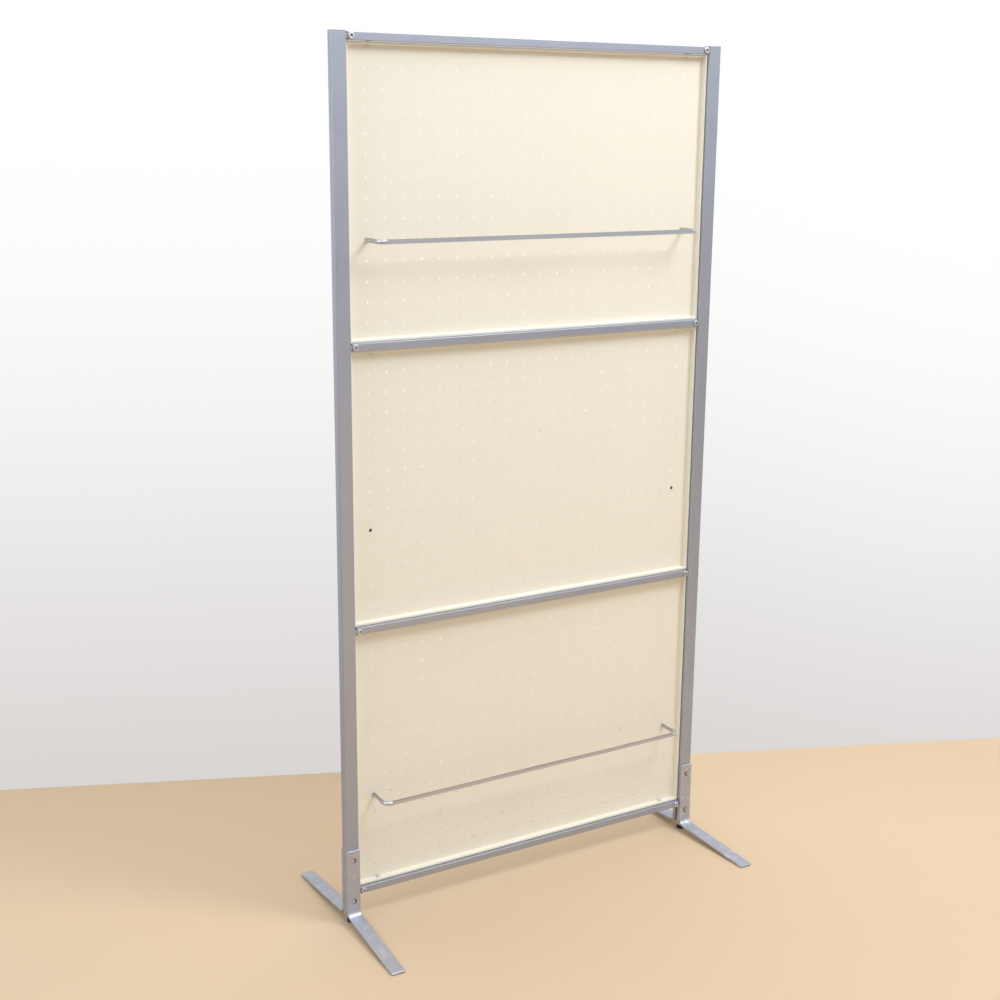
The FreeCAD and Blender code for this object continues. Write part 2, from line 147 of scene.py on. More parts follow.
class Shell:
    """The patches of one piece, gathered as points and faces and then welded."""

    def __init__(self):
        self.points = []
        self.faces = []
        self.count = 0

    def patch(self, points, faces):
        """Any array of points, with faces that index it flat."""
        points = np.asarray(points, float).reshape(-1, 3)
        faces = np.asarray(faces).reshape(-1, np.shape(faces)[-1])
        self.points.append(points)
        self.faces.extend((faces + self.count).tolist())
        self.count += len(points)

    def surface(self, points, wrap_columns=False, keep=None):
        """A grid of points, one row per step along the piece; keep says which cells stay."""
        faces = grid_faces(*points.shape[:2], wrap_columns)
        self.patch(points, faces if keep is None else faces[keep])

    def cap(self, loop):
        """A flat face that closes a loop of points."""
        self.patch(loop, np.arange(len(loop))[None, :])

    def bar(self, grid, keep=None):
        """A grid that wraps round a bar, with both of its ends closed."""
        self.surface(grid, wrap_columns=True, keep=keep)
        self.cap(grid[0])
        self.cap(grid[-1])

    def piece(self, name, finish, slot, *nodes, body=BODY):
        """The welded mesh as an object that rides on a body and stands for CAD nodes."""
        mesh = bpy.data.meshes.new(name)
        mesh.from_pydata(np.concatenate(self.points).tolist(), [], self.faces)
        work = bmesh.new()
        work.from_mesh(mesh)
        bmesh.ops.remove_doubles(work, verts=work.verts, dist=WELD)
        bmesh.ops.dissolve_degenerate(work, edges=work.edges, dist=WELD / 2)
        bmesh.ops.recalc_face_normals(work, faces=work.faces)
        work.to_mesh(mesh)
        work.free()
        mesh.shade_smooth()
        mesh.set_sharp_from_angle(angle=SHARP)
        mesh.materials.append(finish)
        piece = bpy.data.objects.new(name, mesh)
        bpy.context.scene.collection.objects.link(piece)
        shading = piece.modifiers.new("even_shading", "WEIGHTED_NORMAL")
        shading.keep_sharp = True
        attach(piece, body)
        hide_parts(*nodes)


def rounded_loop(width, height, radius, marks=None, steps=5):
    """A rounded rectangle, anticlockwise from its +u side.

    Each side runs straight between its corners, with a point at each of its marks, and
    each corner is a quarter circle: centre + radius * (cos turn, sin turn).
    """
    marks = marks or {}
    points = []
    for k in range(4):
        turn = k * math.pi / 2
        normal = np.array([math.cos(turn), math.sin(turn)])
        along = np.array([-normal[1], normal[0]])
        reach = (width, height)[k % 2] / 2
        half = (height, width)[k % 2] / 2 - radius
        points += [reach * normal + a * along for a in [-half, *marks.get(k, ()), half]]
        centre = (reach - radius) * normal + half * along
        turns = turn + np.linspace(0, math.pi / 2, steps + 1)[1:-1]
        points += [centre + radius * np.array([math.cos(t), math.sin(t)]) for t in turns]
    return np.array(points)


def circle(radius, steps=16):
    """Points radius * (cos turn, sin turn), evenly spaced."""
    turns = 2 * math.pi * np.arange(steps) / steps
    return radius * np.stack([np.cos(turns), np.sin(turns)], -1)


def arc(centre, radius, start, end, steps):
    """Points centre + radius * (cos turn, sin turn), from one turn to another in degrees."""
    turns = np.radians(np.linspace(start, end, steps + 1))
    return np.array(centre) + radius * np.stack([np.cos(turns), np.sin(turns)], -1)


def slot_outline(length, width, steps=16):
    """A slot with round ends: a circle whose halves are moved apart along v."""
    outline = circle(width / 2, steps)
    outline[:, 1] += np.sign(np.round(outline[:, 1], 9)) * (length - width) / 2
    return outline


def pierced(shell, corners, centres, outline):
    """Flat four-cornered cells with a hole each: every quarter of the hole's outline is
    joined by a fan to the cell's corner that it faces."""
    along, across = unit(corners[:, 1] - corners[:, 0]), unit(corners[:, 3] - corners[:, 0])
    rim = rims(centres, along, across, outline)
    points = np.concatenate([corners, rim], 1)
    count = len(outline)
    quarter = count // 4
    facing = (2, 3, 0, 1)  # the corner that each quarter of the outline faces
    local = [(facing[k // quarter], 4 + (k + 1) % count, 4 + k) for k in range(count)]
    local += [(facing[c - 1], facing[c], 4 + c * quarter) for c in range(4)]
    offsets = np.arange(len(corners))[:, None, None] * points.shape[1]
    shell.patch(points, np.array(local)[None] + offsets)


def rims(centres, along, across, outline):
    """An outline laid in the plane of two directions about each centre."""
    return (centres[:, None] + outline[None, :, :1] * along[:, None]
            + outline[None, :, 1:] * across[:, None])


def drilled(shell, front, back, centres, steps, blind=False):
    """A hole through each pair of facing cells: front and back are pierced, and steps of
    (outline, depth) are joined by rings of quads; a blind hole ends in a flat floor."""
    along, across = unit(front[:, 1] - front[:, 0]), unit(front[:, 3] - front[:, 0])
    inward = unit(np.cross(along, across))
    inward *= np.sign(np.sum((back[:, 0] - front[:, 0]) * inward, -1, keepdims=True))
    levels = [rims(centres + inward * depth, along, across, outline) for outline, depth in steps]
    pierced(shell, front, centres, steps[0][0])
    walls = np.stack(levels, 1)
    faces = grid_faces(walls.shape[1], walls.shape[2], wrap_columns=True)
    offsets = np.arange(len(walls))[:, None, None, None] * walls.shape[1] * walls.shape[2]
    shell.patch(walls, faces[None] + offsets)
    if blind:
        for floor in levels[-1]:
            shell.cap(floor)
    else:
        pierced(shell, back, centres + inward * steps[-1][1], steps[-1][0])


def cells(grid):
    """The four corners of each cell of a grid whose columns wrap round."""
    right = np.roll(grid, -1, 1)
    return np.stack([grid[:-1], grid[1:], right[1:], right[:-1]], 2)


def near(grid, point, reach=1.5 * MM):
    """Which cells of a grid have their middle within reach of a point."""
    return np.linalg.norm(cells(grid).mean(2) - point, axis=-1) < reach


def tube(shell, outer, inner, openings=(), holes=()):
    """A hollow bar from two matching grids, one row per station along it.

    openings are boxes whose cells are left out, with reveals from skin to skin. holes are
    (point, steps, blind): the outer cell with its middle at the point is drilled.
    """
    skin_cells, back_cells = cells(outer), cells(inner)
    middles = skin_cells.mean(2)
    open_cells = np.zeros(middles.shape[:2], bool)
    for low, high in openings:
        open_cells |= np.all((middles > low) & (middles < high), -1)
    keep, keep_inner = ~open_cells, ~open_cells
    for point, steps, blind in holes:
        hit = near(outer, point)
        drilled(shell, skin_cells[hit], back_cells[hit], np.array([point]), steps, blind)
        keep = keep & ~hit
        keep_inner = keep_inner & (~hit | blind)
    shell.surface(outer, wrap_columns=True, keep=keep)
    shell.surface(inner, wrap_columns=True, keep=keep_inner)
    for end in (0, -1):
        shell.surface(np.stack([outer[end], inner[end]]), wrap_columns=True)
    # Each side of a cell, by its two corners, with whether the cell beyond it is open
    padded = np.pad(open_cells, ((1, 1), (0, 0)))
    neighbours = {(0, 1): np.roll(open_cells, 1, 1), (1, 2): padded[2:],
                  (2, 3): np.roll(open_cells, -1, 1), (3, 0): padded[:-2]}
    for (a, b), neighbour in neighbours.items():
        edge = open_cells & ~neighbour
        skin, back = skin_cells[edge], back_cells[edge]
        reveal = np.stack([skin[:, a], skin[:, b], back[:, b], back[:, a]], 1)
        if len(reveal):
            shell.patch(reveal, np.arange(4 * len(reveal)).reshape(-1, 4))


def swept(path, across, normal, sections):
    """Sections carried along a path: point = path + u * across + v * normal at each step."""
    return (path[:, None] + sections[..., :1] * across[:, None]
            + sections[..., 1:] * normal[:, None])


def hexagonal(flats, steps=24):
    """Radius of a hexagon at each turn: half its width over the cosine of the turn from
    the middle of the nearest flat."""
    turns = np.arange(steps) * 360 / steps
    return flats / 2 / np.cos(np.radians(turns % 60 - 30))


def turned(shell, places, axis, rings, steps=24):
    """Rings of (radius, height) about an axis through each place, joined in order. A ring's
    radius is one number or one for each turn, and a ring of radius 0 closes an end."""
    axis = np.asarray(axis, float)
    first = unit(np.cross(axis, X if abs(axis[0]) < 0.5 else Z))
    second = np.cross(axis, first)
    turns = 2 * math.pi * np.arange(steps) / steps
    spokes = np.cos(turns)[:, None] * first + np.sin(turns)[:, None] * second
    radii = np.array([np.broadcast_to(radius, steps) for radius, height in rings])
    heights = np.array([height for radius, height in rings])
    shape = radii[..., None] * spokes[None] + heights[:, None, None] * axis
    for place in places:
        shell.surface(shape + place, wrap_columns=True)


def washer(shell, places, axis, outer, hole, height, chamfer):
    """A flat ring with chamfered outer edges, closed on itself."""
    rings = [(hole, 0), (outer - chamfer, 0), (outer, chamfer), (outer, height - chamfer),
             (outer - chamfer, height), (hole, height), (hole, 0)]
    turned(shell, places, axis, rings)


# ---------------------------------------------------------------- finishes

class Value:
    """A socket of a node tree, on which arithmetic adds Math nodes."""

    def __init__(self, nodes, socket):
        self.nodes, self.socket = nodes, socket

    def math(self, operation, *terms):
        """A Math node on some terms, which are values or plain numbers."""
        return self.nodes.node("ShaderNodeMath", {"operation": operation}, enumerate(terms))

    def __add__(self, other):
        return self.math("ADD", self, other)

    def __sub__(self, other):
        return self.math("SUBTRACT", self, other)

    def __rsub__(self, other):
        return self.math("SUBTRACT", other, self)

    def __mul__(self, other):
        return self.math("MULTIPLY", self, other)

    __radd__, __rmul__ = __add__, __mul__

    def step(self, low, high, start=0, end=1):
        """A smooth step from start, where the value is low, to end, where it is high."""
        return self.nodes.node("ShaderNodeMapRange", {"interpolation_type": "SMOOTHSTEP"},
                               {"Value": self, "From Min": low, "From Max": high,
                                "To Min": start, "To Max": end})

    def fade(self, start, end):
        """A smooth step from 1 at start down to 0 at end."""
        return 1 - self.step(start, end)

    def part(self, axis):
        """One coordinate of a vector."""
        return self.nodes.node("ShaderNodeSeparateXYZ", (), {"Vector": self}, axis)


class Nodes:
    """A node tree in the making."""

    def __init__(self, tree):
        self.tree = tree

    def node(self, kind, settings=(), inputs=(), output=0):
        """One output of a new node: its settings are made first, then its inputs."""
        new = self.tree.nodes.new(kind)
        for name, value in dict(settings).items():
            setattr(new, name, value)
        for name, value in dict(inputs).items():
            self.feed(new.inputs[name], value)
        return Value(self, new.outputs[output])

    def feed(self, socket, value):
        """Links a value to a socket, or sets the socket to a plain value."""
        if isinstance(value, Value):
            self.tree.links.new(value.socket, socket)
        else:
            socket.default_value = value[:3] if socket.type == "VECTOR" else value

    def ray(self, kind):
        """1 for rays of a kind, such as "Is Camera Ray", and 0 for others."""
        return self.node("ShaderNodeLightPath", output=kind)


class Finish(Nodes):
    """A material in the making: its main shader and the nodes that vary it by place."""

    def __init__(self, name, fixed):
        self.material = bpy.data.materials.new(name)
        self.material.use_nodes = True
        super().__init__(self.material.node_tree)
        self.shader = self.tree.nodes["Principled BSDF"]
        for socket, value in fixed.items():
            self.shader.inputs[socket].default_value = value
        self.place = self.node("ShaderNodeTexCoord", output="Object")

    def stretched(self, stretch):
        """The place on the surface, scaled by a factor for each axis."""
        return self.node("ShaderNodeMapping", (), {"Vector": self.place, "Scale": stretch})

    def noise(self, size, detail=2.0, roughness=0.5, place=None):
        """Soft noise from 0 to 1 whose lumps are about as large as size, in metres."""
        return self.node("ShaderNodeTexNoise", (), {
            "Vector": place or self.place, "Scale": 1 / size, "Detail": detail,
            "Roughness": roughness})

    def specks(self, size):
        """Distance from scattered points, in units of their spacing."""
        return self.node("ShaderNodeTexVoronoi", (), {"Vector": self.place, "Scale": 1 / size})

    def flakes(self, size):
        """A number from 0 to 1 for each small cell of the surface, unlike its neighbours'."""
        cell = self.node("ShaderNodeTexVoronoi", (), {"Vector": self.place, "Scale": 1 / size},
                         "Color")
        return self.node("ShaderNodeSeparateColor", (), {"Color": cell})

    def tinted(self, factor, base, tint):
        """A colour that goes from base to tint as factor goes from 0 to 1."""
        return self.node("ShaderNodeMix", {"data_type": "RGBA"},
                         {0: factor, 6: base, 7: tint}, 2)

    def toned(self, colour, tone):
        """A colour times a brightness."""
        return self.node("ShaderNodeVectorMath", {"operation": "SCALE"},
                         {0: colour, "Scale": tone})

    def mixed(self, factor, first, second):
        """A Mix Shader between two shaders."""
        return self.node("ShaderNodeMixShader", (), {0: factor, 1: first, 2: second})

    def surface(self, shader):
        """Makes a shader the material's surface in place of the main one."""
        self.feed(self.tree.nodes["Material Output"].inputs["Surface"], shader)

    def done(self, colour, roughness, height, depth):
        """The material, with what varies over the surface fed to its shader."""
        bump = self.node("ShaderNodeBump", (), {"Height": height, "Distance": depth})
        for name, value in {"Base Color": colour, "Roughness": roughness,
                            "Normal": bump}.items():
            self.feed(self.shader.inputs[name], value)
        return self.material


def rgb(red, green, blue):
    """An opaque colour."""
    return (red, green, blue, 1.0)


def silver_paint(name, base, scuffed, scuffs, flake_share=0.85, gloss=0.0):
    """Satin silver-grey stoving paint: fine flake, orange peel, faint clouds and scuffs."""
    finish = Finish(name, {"Metallic": flake_share})
    clouds = finish.noise(0.09, 3)
    streaks = finish.noise(0.012, 3, place=finish.stretched((1, 1, 0.12)))
    flake = finish.flakes(0.00035)
    tone = 0.93 + 0.08 * clouds + 0.05 * streaks + 0.05 * flake
    rubs = finish.noise(0.018, 5, 0.7).step(0.66 - scuffs, 0.74 - scuffs)
    nicks = finish.specks(0.016).fade(0.03, 0.09) * finish.noise(0.05).step(0.5, 0.62)
    colour = finish.tinted(0.55 * rubs, finish.toned(base, tone), scuffed)
    colour = finish.tinted(0.5 * nicks, colour, rgb(0.16, 0.15, 0.15))
    peel = finish.noise(0.0022, 2)
    return finish.done(colour, roughness=0.40 - gloss + 0.10 * clouds + 0.12 * rubs,
                       height=peel + 0.4 * flake - 2 * nicks, depth=0.00003)


def tray_paint(name):
    """Cream powder coat: fine texture, slow clouds, a few grey rubs and small dark marks."""
    finish = Finish(name, {"Specular IOR Level": 0.45})
    clouds = finish.noise(0.22, 3)
    mottle = finish.noise(0.03, 4, 0.6)
    tone = 0.975 + 0.035 * clouds + 0.02 * mottle
    base = finish.toned(CREAM, tone)
    rubs = finish.noise(0.03, 6, 0.75, finish.stretched((1, 1, 0.6))).step(0.70, 0.80)
    marks = finish.specks(0.045).fade(0.02, 0.05) * finish.noise(0.12).step(0.52, 0.66)
    colour = finish.tinted(0.25 * rubs, base, rgb(0.62, 0.56, 0.47))
    colour = finish.tinted(0.6 * marks, colour, rgb(0.34, 0.30, 0.26))
    grain = finish.noise(0.0011, 2)
    return finish.done(colour, roughness=0.42 + 0.12 * mottle, height=grain, depth=0.00004)


def plated_steel(name, base, dulled):
    """Zinc-plated steel: metal with soft duller patches and fine tool marks."""
    finish = Finish(name, {"Metallic": 1.0})
    patches = finish.noise(0.004, 3)
    turning = finish.noise(0.0004, 2)
    colour = finish.tinted(patches.step(0.35, 0.7), base, dulled)
    return finish.done(colour, roughness=0.26 + 0.22 * patches, height=turning, depth=0.00002)


def moulded(name, base, worn, roughness):
    """Moulded plastic or rubber: fine matt grain, dust and paler rubbed patches."""
    finish = Finish(name, {"Specular IOR Level": 0.4})
    dust = finish.noise(0.006, 4, 0.6)
    grain = finish.noise(0.0006, 2)
    colour = finish.tinted(dust.step(0.45, 0.75), base, worn)
    return finish.done(colour, roughness=roughness + 0.15 * dust, height=grain, depth=0.00003)


CREAM = rgb(0.84, 0.80, 0.69)
FRAME_GREY = rgb(0.39, 0.41, 0.48)
# The feet wear the frame's silver paint; this grey is lighter and bluer than the frame's as
# painted sheen, standing in for the bluish light that their upward tops catch.
FOOT_GREY_WITH_PAINTED_SHEEN = rgb(0.45, 0.465, 0.53)
BAR_GREY = rgb(0.52, 0.525, 0.57)

finishes = {
    "frame_paint": silver_paint("silver_paint", FRAME_GREY, rgb(0.54, 0.54, 0.58), 0.0),
    # The feet's finish: the same silver paint, on a lighter, bluer grey that paints in the sheen
    # of their lit tops.
    "foot_paint": silver_paint("foot_paint", FOOT_GREY_WITH_PAINTED_SHEEN, rgb(0.66, 0.67, 0.72), 0.12),
    "bar_finish": silver_paint("bar_paint", BAR_GREY, rgb(0.6, 0.6, 0.62), 0.0, 0.8, 0.1),
    "tray_paint": tray_paint("cream_paint"),
    "zinc": plated_steel("zinc_plating", rgb(0.70, 0.70, 0.71), rgb(0.56, 0.56, 0.57)),
    "yellow_zinc": plated_steel("yellow_zinc", rgb(0.66, 0.61, 0.52), rgb(0.52, 0.46, 0.36)),
    "cap_plastic": moulded("grey_plastic", rgb(0.30, 0.305, 0.335), rgb(0.36, 0.36, 0.39),
                           0.45),
    "black_plastic": moulded("black_plastic", rgb(0.02, 0.02, 0.02), rgb(0.06, 0.06, 0.06),
                             0.5),
    "black_rubber": moulded("black_rubber", rgb(0.018, 0.017, 0.017), rgb(0.09, 0.08, 0.07),
                            0.65),
    "dark_plastic": moulded("dark_plastic", rgb(0.07, 0.055, 0.045), rgb(0.14, 0.12, 0.10),
                            0.45),
}


# ---------------------------------------------------------------- pieces

def corners(node):
    """Lowest and highest corner of a CAD node, as arrays."""
    low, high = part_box(node)
    return np.array(low), np.array(high)


def made(shell, name, slot, *nodes, body=BODY):
    """A piece with the finish that its slot names."""
    shell.piece(name, finishes[slot], slot, *nodes, body=body)


def upright(loops, heights):
    """Level loops, one at each height, as a grid: (u, v, height)."""
    loops = np.broadcast_to(loops, (len(heights), *np.shape(loops)[-2:]))
    levels = np.broadcast_to(np.reshape(heights, (-1, 1, 1)), (*loops.shape[:2], 1))
    return np.concatenate([loops, levels], -1)


RAILS = ("bottom_rail", "lower_middle_rail", "upper_middle_rail", "top_rail")
TRAYS = ("bottom_panel", "middle_panel", "top_panel")
BARS = ("lower_bar", "upper_bar")
rail_boxes = {name: corners(name) for name in RAILS}
tray_boxes = {name: corners(name) for name in TRAYS}
post_boxes = {side: corners(side + "_post") for side in SIDES}
post_middles = {side: (box[0][0] + box[1][0]) / 2 for side, box in post_boxes.items()}
outer_column = PEG_PITCH * (PEG_COLUMNS - 1) / 2


def post(side_name):
    """A rounded tube with slots for the rails' hooks and holes for the foot bolts' nuts."""
    side = SIDES[side_name]
    low, high = post_boxes[side_name]
    middle, size = (low + high) / 2, high - low
    inner_side = 0 if side < 0 else 2
    shift = side * FOOT_BOLT_SHIFT
    marks = {inner_side: (-SLOT_WIDTH / 2, SLOT_WIDTH / 2),
             3: (shift - HOLE_CELL, shift + HOLE_CELL),
             1: (-shift - HOLE_CELL, -shift + HOLE_CELL)}
    slots = [BASE_SLOT] + [(box[0][2] + SLOT_RISE, box[0][2] + SLOT_RISE + SLOT_HEIGHT)
                           for box in rail_boxes.values()]
    nuts = [z + way * HOLE_CELL for z in FOOT_BOLT_HEIGHTS for way in (-1, 1)]
    heights = sorted([low[2], high[2], *nuts, *[z for pair in slots for z in pair]])
    grids = []
    for inset, corner in ((0, POST_CORNER), (POST_WALL, POST_CORNER - POST_WALL)):
        loop = rounded_loop(size[0] - 2 * inset, size[1] - 2 * inset, corner, marks)
        grids.append(upright(loop, heights) + middle * (X + Y))
    wall = middle[0] - side * size[0] / 2
    openings = [(np.array([wall - POST_WALL, -SLOT_WIDTH / 2, z0]),
                 np.array([wall + POST_WALL, SLOT_WIDTH / 2, z1])) for z0, z1 in slots]
    holes = [(np.array([middle[0] + shift, way * size[1] / 2, z]),
              [(circle(NUT_HOLE), 0), (circle(NUT_HOLE), POST_WALL)], False)
             for z in FOOT_BOLT_HEIGHTS for way in WAYS.values()]
    shell = Shell()
    tube(shell, *grids, openings, holes)
    made(shell, side_name + "_post_tube", "frame_paint", side_name + "_post")


def post_cap(side_name):
    """A thin lid with a rounded rim on a plug: rounded rectangles stacked up."""
    low, high = corners(side_name + "_post_cap")
    post_low, post_high = post_boxes[side_name]
    middle, size = (post_low + post_high) / 2, post_high - post_low
    seat, top = post_high[2], high[2]
    plug = rounded_loop(high[0] - low[0] - 2 * LID_PLUG_INSET,
                        high[1] - low[1] - 2 * LID_PLUG_INSET, POST_CORNER / 2)
    turns = np.linspace(0, math.pi / 2, 6)
    insets = LID_RIM * (1 - np.cos(turns))
    rim = [rounded_loop(size[0] - 2 * i, size[1] - 2 * i, POST_CORNER - i) for i in insets]
    loops = np.array([plug, plug, rim[0], *rim])
    heights = [low[2], seat, seat, *(top - LID_RIM + LID_RIM * np.sin(turns))]
    shell = Shell()
    shell.bar(upright(loops, heights) + middle * (X + Y))
    made(shell, side_name + "_post_lid", "cap_plastic", side_name + "_post_cap")


def rail(name):
    """A square tube across the stand, with seats for its lock screws and tapped holes."""
    low, high = rail_boxes[name]
    size, middle = high - low, (low + high) / 2
    lock = high[0] - LOCK_CELL / 2
    start, end = FLANGE_SCREW_Y - HOLE_CELL, FLANGE_SCREW_Y + HOLE_CELL
    marks = {3: (start, end), 1: (-end, -start)}
    stations = sorted([side * x for side in SIDES.values() for x in (
        high[0], high[0] - LOCK_CELL, FLANGE_SCREW_X - HOLE_CELL, FLANGE_SCREW_X + HOLE_CELL)])
    grids = []
    for inset, corner in ((0, RAIL_CORNER), (RAIL_WALL, RAIL_CORNER / 2)):
        loop = rounded_loop(size[1] - 2 * inset, size[2] - 2 * inset, corner, marks, 4)
        grids.append(upright(loop, stations)[..., [2, 0, 1]] + middle * Z)
    sink = [(circle(LOCK_HOLE, 24), 0), (circle(LOCK_HOLE, 24), LOCK_SINK)]
    bore = [(circle(TAPPED_HOLE), 0), (circle(TAPPED_HOLE), RAIL_WALL)]
    holes = [(np.array([side * lock, low[1], middle[2]]), sink, True)
             for side in SIDES.values()]
    face = high[2] if name == RAILS[0] else low[2]
    holes += [(np.array([side * FLANGE_SCREW_X, FLANGE_SCREW_Y, face]), bore, False)
              for side in SIDES.values()]
    shell = Shell()
    tube(shell, *grids, (), holes)
    made(shell, name + "_tube", "frame_paint", name)


def flange_screws(tray_name):
    """Where screws stand on a tray's flanges: X, height of the flange, way into the tray."""
    low, high = tray_boxes[tray_name]
    flanges = [(high[2] - END_LIP, -1)]
    if tray_name == TRAYS[0]:
        flanges.append((low[2] + END_LIP, 1))
    return [(side * FLANGE_SCREW_X, z, way) for z, way in flanges for side in SIDES.values()]


def tray_rings(low, high, columns, rows):
    """The folded edge: the profile of flange and lip, carried round the tray's rectangle
    with mitred corners. Its points are (distance in from the outer edge, y), and those
    within the lip lie further in at the two ends, where the lip is wider."""
    front, face = low[1], high[1] - SHEET
    fold = SIDE_LIP + FOLD_RADIUS
    lip_middle = SIDE_LIP - SHEET - LIP_RADIUS
    half = SHEET / 2
    profile = np.concatenate([
        arc((fold, face - FOLD_RADIUS), FOLD_RADIUS, 90, 180, 4),
        arc((lip_middle, front + SHEET + LIP_RADIUS), LIP_RADIUS + SHEET, 0, -90, 5),
        arc((half, front + half), half, 270, 90, 4),
        arc((lip_middle, front + SHEET + LIP_RADIUS), LIP_RADIUS, -90, 0, 3),
        arc((fold, face - FOLD_RADIUS), FOLD_RADIUS + SHEET, 180, 90, 5)])
    inset, y = profile[:, :1], profile[:, 1:]
    end_inset = inset + (END_LIP - SIDE_LIP) * (inset > SHEET)
    start = [low[0] + inset, low[2] + end_inset]
    end = [high[0] - inset, high[2] - end_inset]
    xs = np.broadcast_to(columns, (len(profile), len(columns)))
    zs = np.broadcast_to(rows, (len(profile), len(rows)))
    x = np.hstack([start[0], xs, np.repeat(end[0], len(rows) + 1, 1), end[0], xs[:, ::-1],
                   np.repeat(start[0], len(rows) + 1, 1)])
    z = np.hstack([np.repeat(start[1], len(columns) + 1, 1), start[1], zs,
                   np.repeat(end[1], len(columns) + 1, 1), end[1], zs[:, ::-1]])
    return np.stack([x, np.broadcast_to(y, x.shape), z], -1)


def tray(name):
    """A perforated sheet: two skins drilled on a grid, joined by the folded edge."""
    low, high = tray_boxes[name]
    columns = PEG_PITCH * (np.arange(PEG_COLUMNS + 1) - PEG_COLUMNS / 2)
    rows = low[2] + FIRST_PEG_ROW + PEG_PITCH * (np.arange(PEG_ROWS + 1) - 0.5)
    shell = Shell()
    rings = tray_rings(low, high, columns, rows)
    keep = np.ones((len(rings) - 1, rings.shape[1]), bool)
    for x, z, way in flange_screws(name):
        cell = np.array([math.copysign(outer_column, x), FLANGE_SCREW_Y, z])
        hits = [near(rings, cell - way * depth * Z) for depth in (0, SHEET)]
        steps = [(circle(SCREW_HOLE), 0), (circle(SCREW_HOLE), SHEET)]
        drilled(shell, cells(rings)[hits[0]], cells(rings)[hits[1]],
                np.array([[x, FLANGE_SCREW_Y, z]]), steps)
        keep &= ~(hits[0] | hits[1])
    shell.surface(rings, wrap_columns=True, keep=keep)
    side_fold, end_fold = SIDE_LIP + FOLD_RADIUS, END_LIP + FOLD_RADIUS
    xs = np.array([low[0] + side_fold, *columns, high[0] - side_fold])
    zs = np.array([low[2] + end_fold, *rows, high[2] - end_fold])
    drilled_cells = np.zeros((len(zs) - 1, len(xs) - 1), bool)
    drilled_cells[1:-1, 1:-1] = True
    skins = []
    for y in (high[1] - SHEET, high[1]):
        x, z = np.meshgrid(xs, zs)
        skin = np.stack([x, np.full_like(x, y), z], -1)
        shell.surface(skin, keep=~drilled_cells)
        quads = np.stack([skin[:-1, :-1], skin[1:, :-1], skin[1:, 1:], skin[:-1, 1:]], 2)
        skins.append(quads[drilled_cells])
    peg = circle(PEG_RADIUS)
    drilled(shell, *skins, skins[0].mean(1), [(peg, 0), (peg, SHEET)])
    made(shell, name + "_tray", "tray_paint", name)


def rod_bar(name):
    """A round rod: two legs, two quarter bends and a long span, one smooth path."""
    low, high = corners(name)
    z = (low[2] + high[2]) / 2
    end, span = high[0] - ROD_RADIUS, low[1] + ROD_RADIUS
    turns = np.linspace(0, math.pi / 2, 9)
    bend = np.stack([end - ROD_BEND * (1 - np.cos(turns)),
                     span + ROD_BEND * (1 - np.sin(turns))], -1)
    bend_way = np.stack([np.cos(turns), -np.sin(turns)], -1)[:, ::-1] * (-1, 1)
    half = np.vstack([[end, high[1]], bend, [0, span]])
    way = np.vstack([[0, -1], bend_way, [-1, 0]])
    path = np.vstack([half, half[-2::-1] * (-1, 1)])
    way = np.vstack([way, way[-2::-1] * (1, -1)])
    path = np.column_stack([path, np.full(len(path), z)])
    across = np.column_stack([-way[:, 1], way[:, 0], np.zeros(len(way))])
    sections = np.broadcast_to(circle(ROD_RADIUS, 24), (len(path), 24, 2))
    shell = Shell()
    shell.bar(swept(path, unit(across), np.broadcast_to(Z, path.shape), sections))
    made(shell, name + "_rod", "bar_finish", name)


def rounding(distance, radius):
    """What a round of some radius takes off a side at a distance from the end:
    radius - sqrt(radius^2 - (radius - distance)^2)."""
    short = np.clip(radius - distance, 0, radius)
    return radius - np.sqrt(radius ** 2 - short ** 2)


def foot_line(post_face, top, tip):
    """The middle line of a foot's bar as (distance out, height): down the post's face, round
    the bend, centre - radius * (cos turn, sin turn), and along a slope to the floor. Also
    the way that its upper side faces at each point, and how far out the slope starts."""
    half, mid_bend = FOOT_THICKNESS / 2, FOOT_BEND + FOOT_THICKNESS / 2
    bend_y = post_face + FOOT_THICKNESS + FOOT_BEND
    slope = math.atan2(FOOT_RISE, tip - bend_y)
    bend_z = FOOT_RISE + (FOOT_BEND + FOOT_THICKNESS) * math.cos(slope)
    cell_edges = [z + edge * FOOT_CELL for z in FOOT_BOLT_HEIGHTS for edge in (-1, 1)]
    drops = sorted([top - e for e in END_STEPS] + cell_edges, reverse=True)
    turns = np.linspace(0, math.pi / 2 - slope, 11)
    length = FOOT_RISE / math.sin(slope)
    runs = np.array([*(length * np.arange(1, 6) / 6), *[length - e for e in END_STEPS[::-1]]])
    turn = np.concatenate([np.zeros(len(drops)), turns, np.full(len(runs), turns[-1])])
    facing = np.stack([np.cos(turn), np.sin(turn)], -1)
    centre = np.array([bend_y, bend_z])
    start = centre - mid_bend * facing[-1]
    down = np.array([math.cos(slope), -math.sin(slope)])
    line = np.vstack([np.column_stack([np.full(len(drops), post_face + half), drops]),
                      centre - mid_bend * facing[len(drops):-len(runs)],
                      start + runs[:, None] * down])
    return line, facing, start[0]


